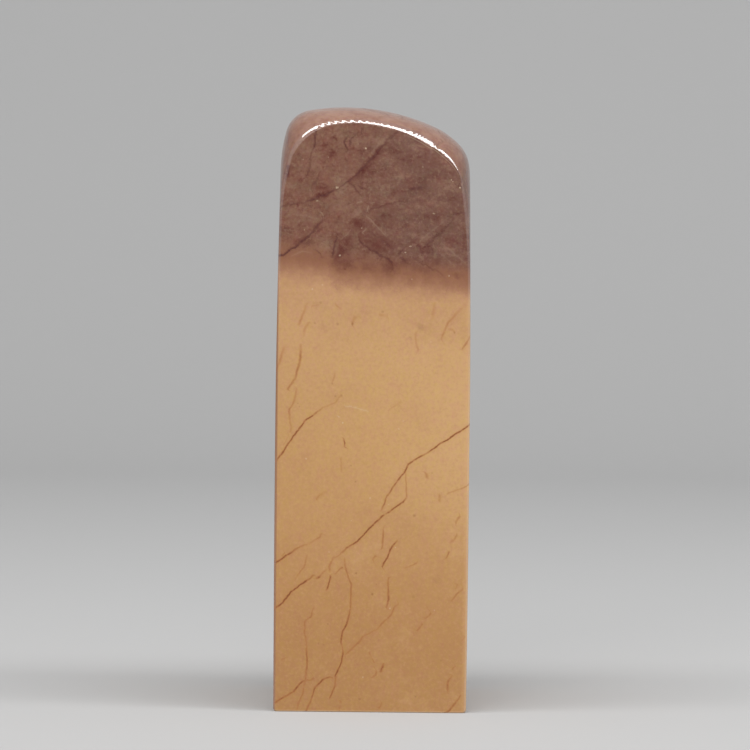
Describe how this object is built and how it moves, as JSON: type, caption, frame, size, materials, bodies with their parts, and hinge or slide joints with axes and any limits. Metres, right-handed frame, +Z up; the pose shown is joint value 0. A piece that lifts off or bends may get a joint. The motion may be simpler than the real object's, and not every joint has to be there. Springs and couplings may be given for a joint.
{
  "type": "seal stone",
  "caption": "Tall square seal stone blank with a flat seal face below and a lopsided arched, pillowed head, in polished stone that is mauve over yellow.",
  "frame": {"origin": "middle of the flat seal face that the stone stands on", "axes": "+Z up along the stone towards its arched head, front face towards -Y, +X to the viewer's right, where the arch falls away"},
  "size_m": [0.025, 0.025, 0.0778],
  "materials": {
    "polished_stone": "hand-polished, clear gloss over veined yellow stone with a mauve head"
  },
  "bodies": {
    "root": {"seal_stone": "polished_stone"}
  },
  "joints": []
}
